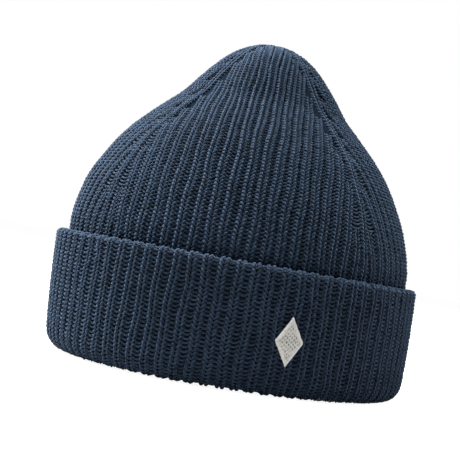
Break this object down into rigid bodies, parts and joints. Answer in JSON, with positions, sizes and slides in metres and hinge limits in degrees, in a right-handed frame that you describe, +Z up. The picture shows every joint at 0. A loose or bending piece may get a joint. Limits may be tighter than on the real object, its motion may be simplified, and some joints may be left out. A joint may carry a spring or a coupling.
{
  "type": "knit beanie",
  "caption": "Cuffed double-knit beanie in ribbed yarn, with a crown shaped by darts, a deep turned-up cuff and a small embroidered motif.",
  "frame": {"origin": "centre of the hat's footprint, on the surface it stands on", "axes": "+Z up through the peak of the crown, -Y towards the front of the hat, +X towards the wearer's left"},
  "size_m": [0.195, 0.225, 0.1877],
  "materials": {
    "knit": "ribbed navy knit",
    "knit_inside": "navy knit, inner face",
    "seam_yarn": "navy linking yarn",
    "embroidery": "off-white embroidery thread with a soft shine",
    "backing": "non-woven stabiliser",
    "label_satin": "woven satin"
  },
  "bodies": {
    "cuff": {"cuff_face": "knit", "cuff_back": "knit_inside", "cuff_seam": "seam_yarn", "motif_thread": "embroidery", "motif_stabiliser": "backing", "motif_bobbin_thread": "embroidery"},
    "crown": {"outer_shell": "knit", "inner_shell": "knit_inside", "dart_seam_front": "seam_yarn", "dart_seam_left": "seam_yarn", "dart_seam_back": "seam_yarn", "dart_seam_right": "seam_yarn", "back_seam": "seam_yarn", "outer_gather_yarn": "seam_yarn", "inner_gather_yarn": "seam_yarn", "apex_tack": "seam_yarn", "label_stitching": "seam_yarn"},
    "label": {"care_label": "label_satin"}
  },
  "joints": [
    {"name": "cuff_slide", "type": "slide", "parent": "cuff", "child": "crown", "axis": [0, 0, 1], "range_m": [0, 0.055]},
    {"name": "label_swing", "type": "hinge", "parent": "crown", "child": "label", "pos_m": [0, 0.09549, 0.052], "axis": [-1, 0, 0], "range_deg": [0, 110]}
  ]
}
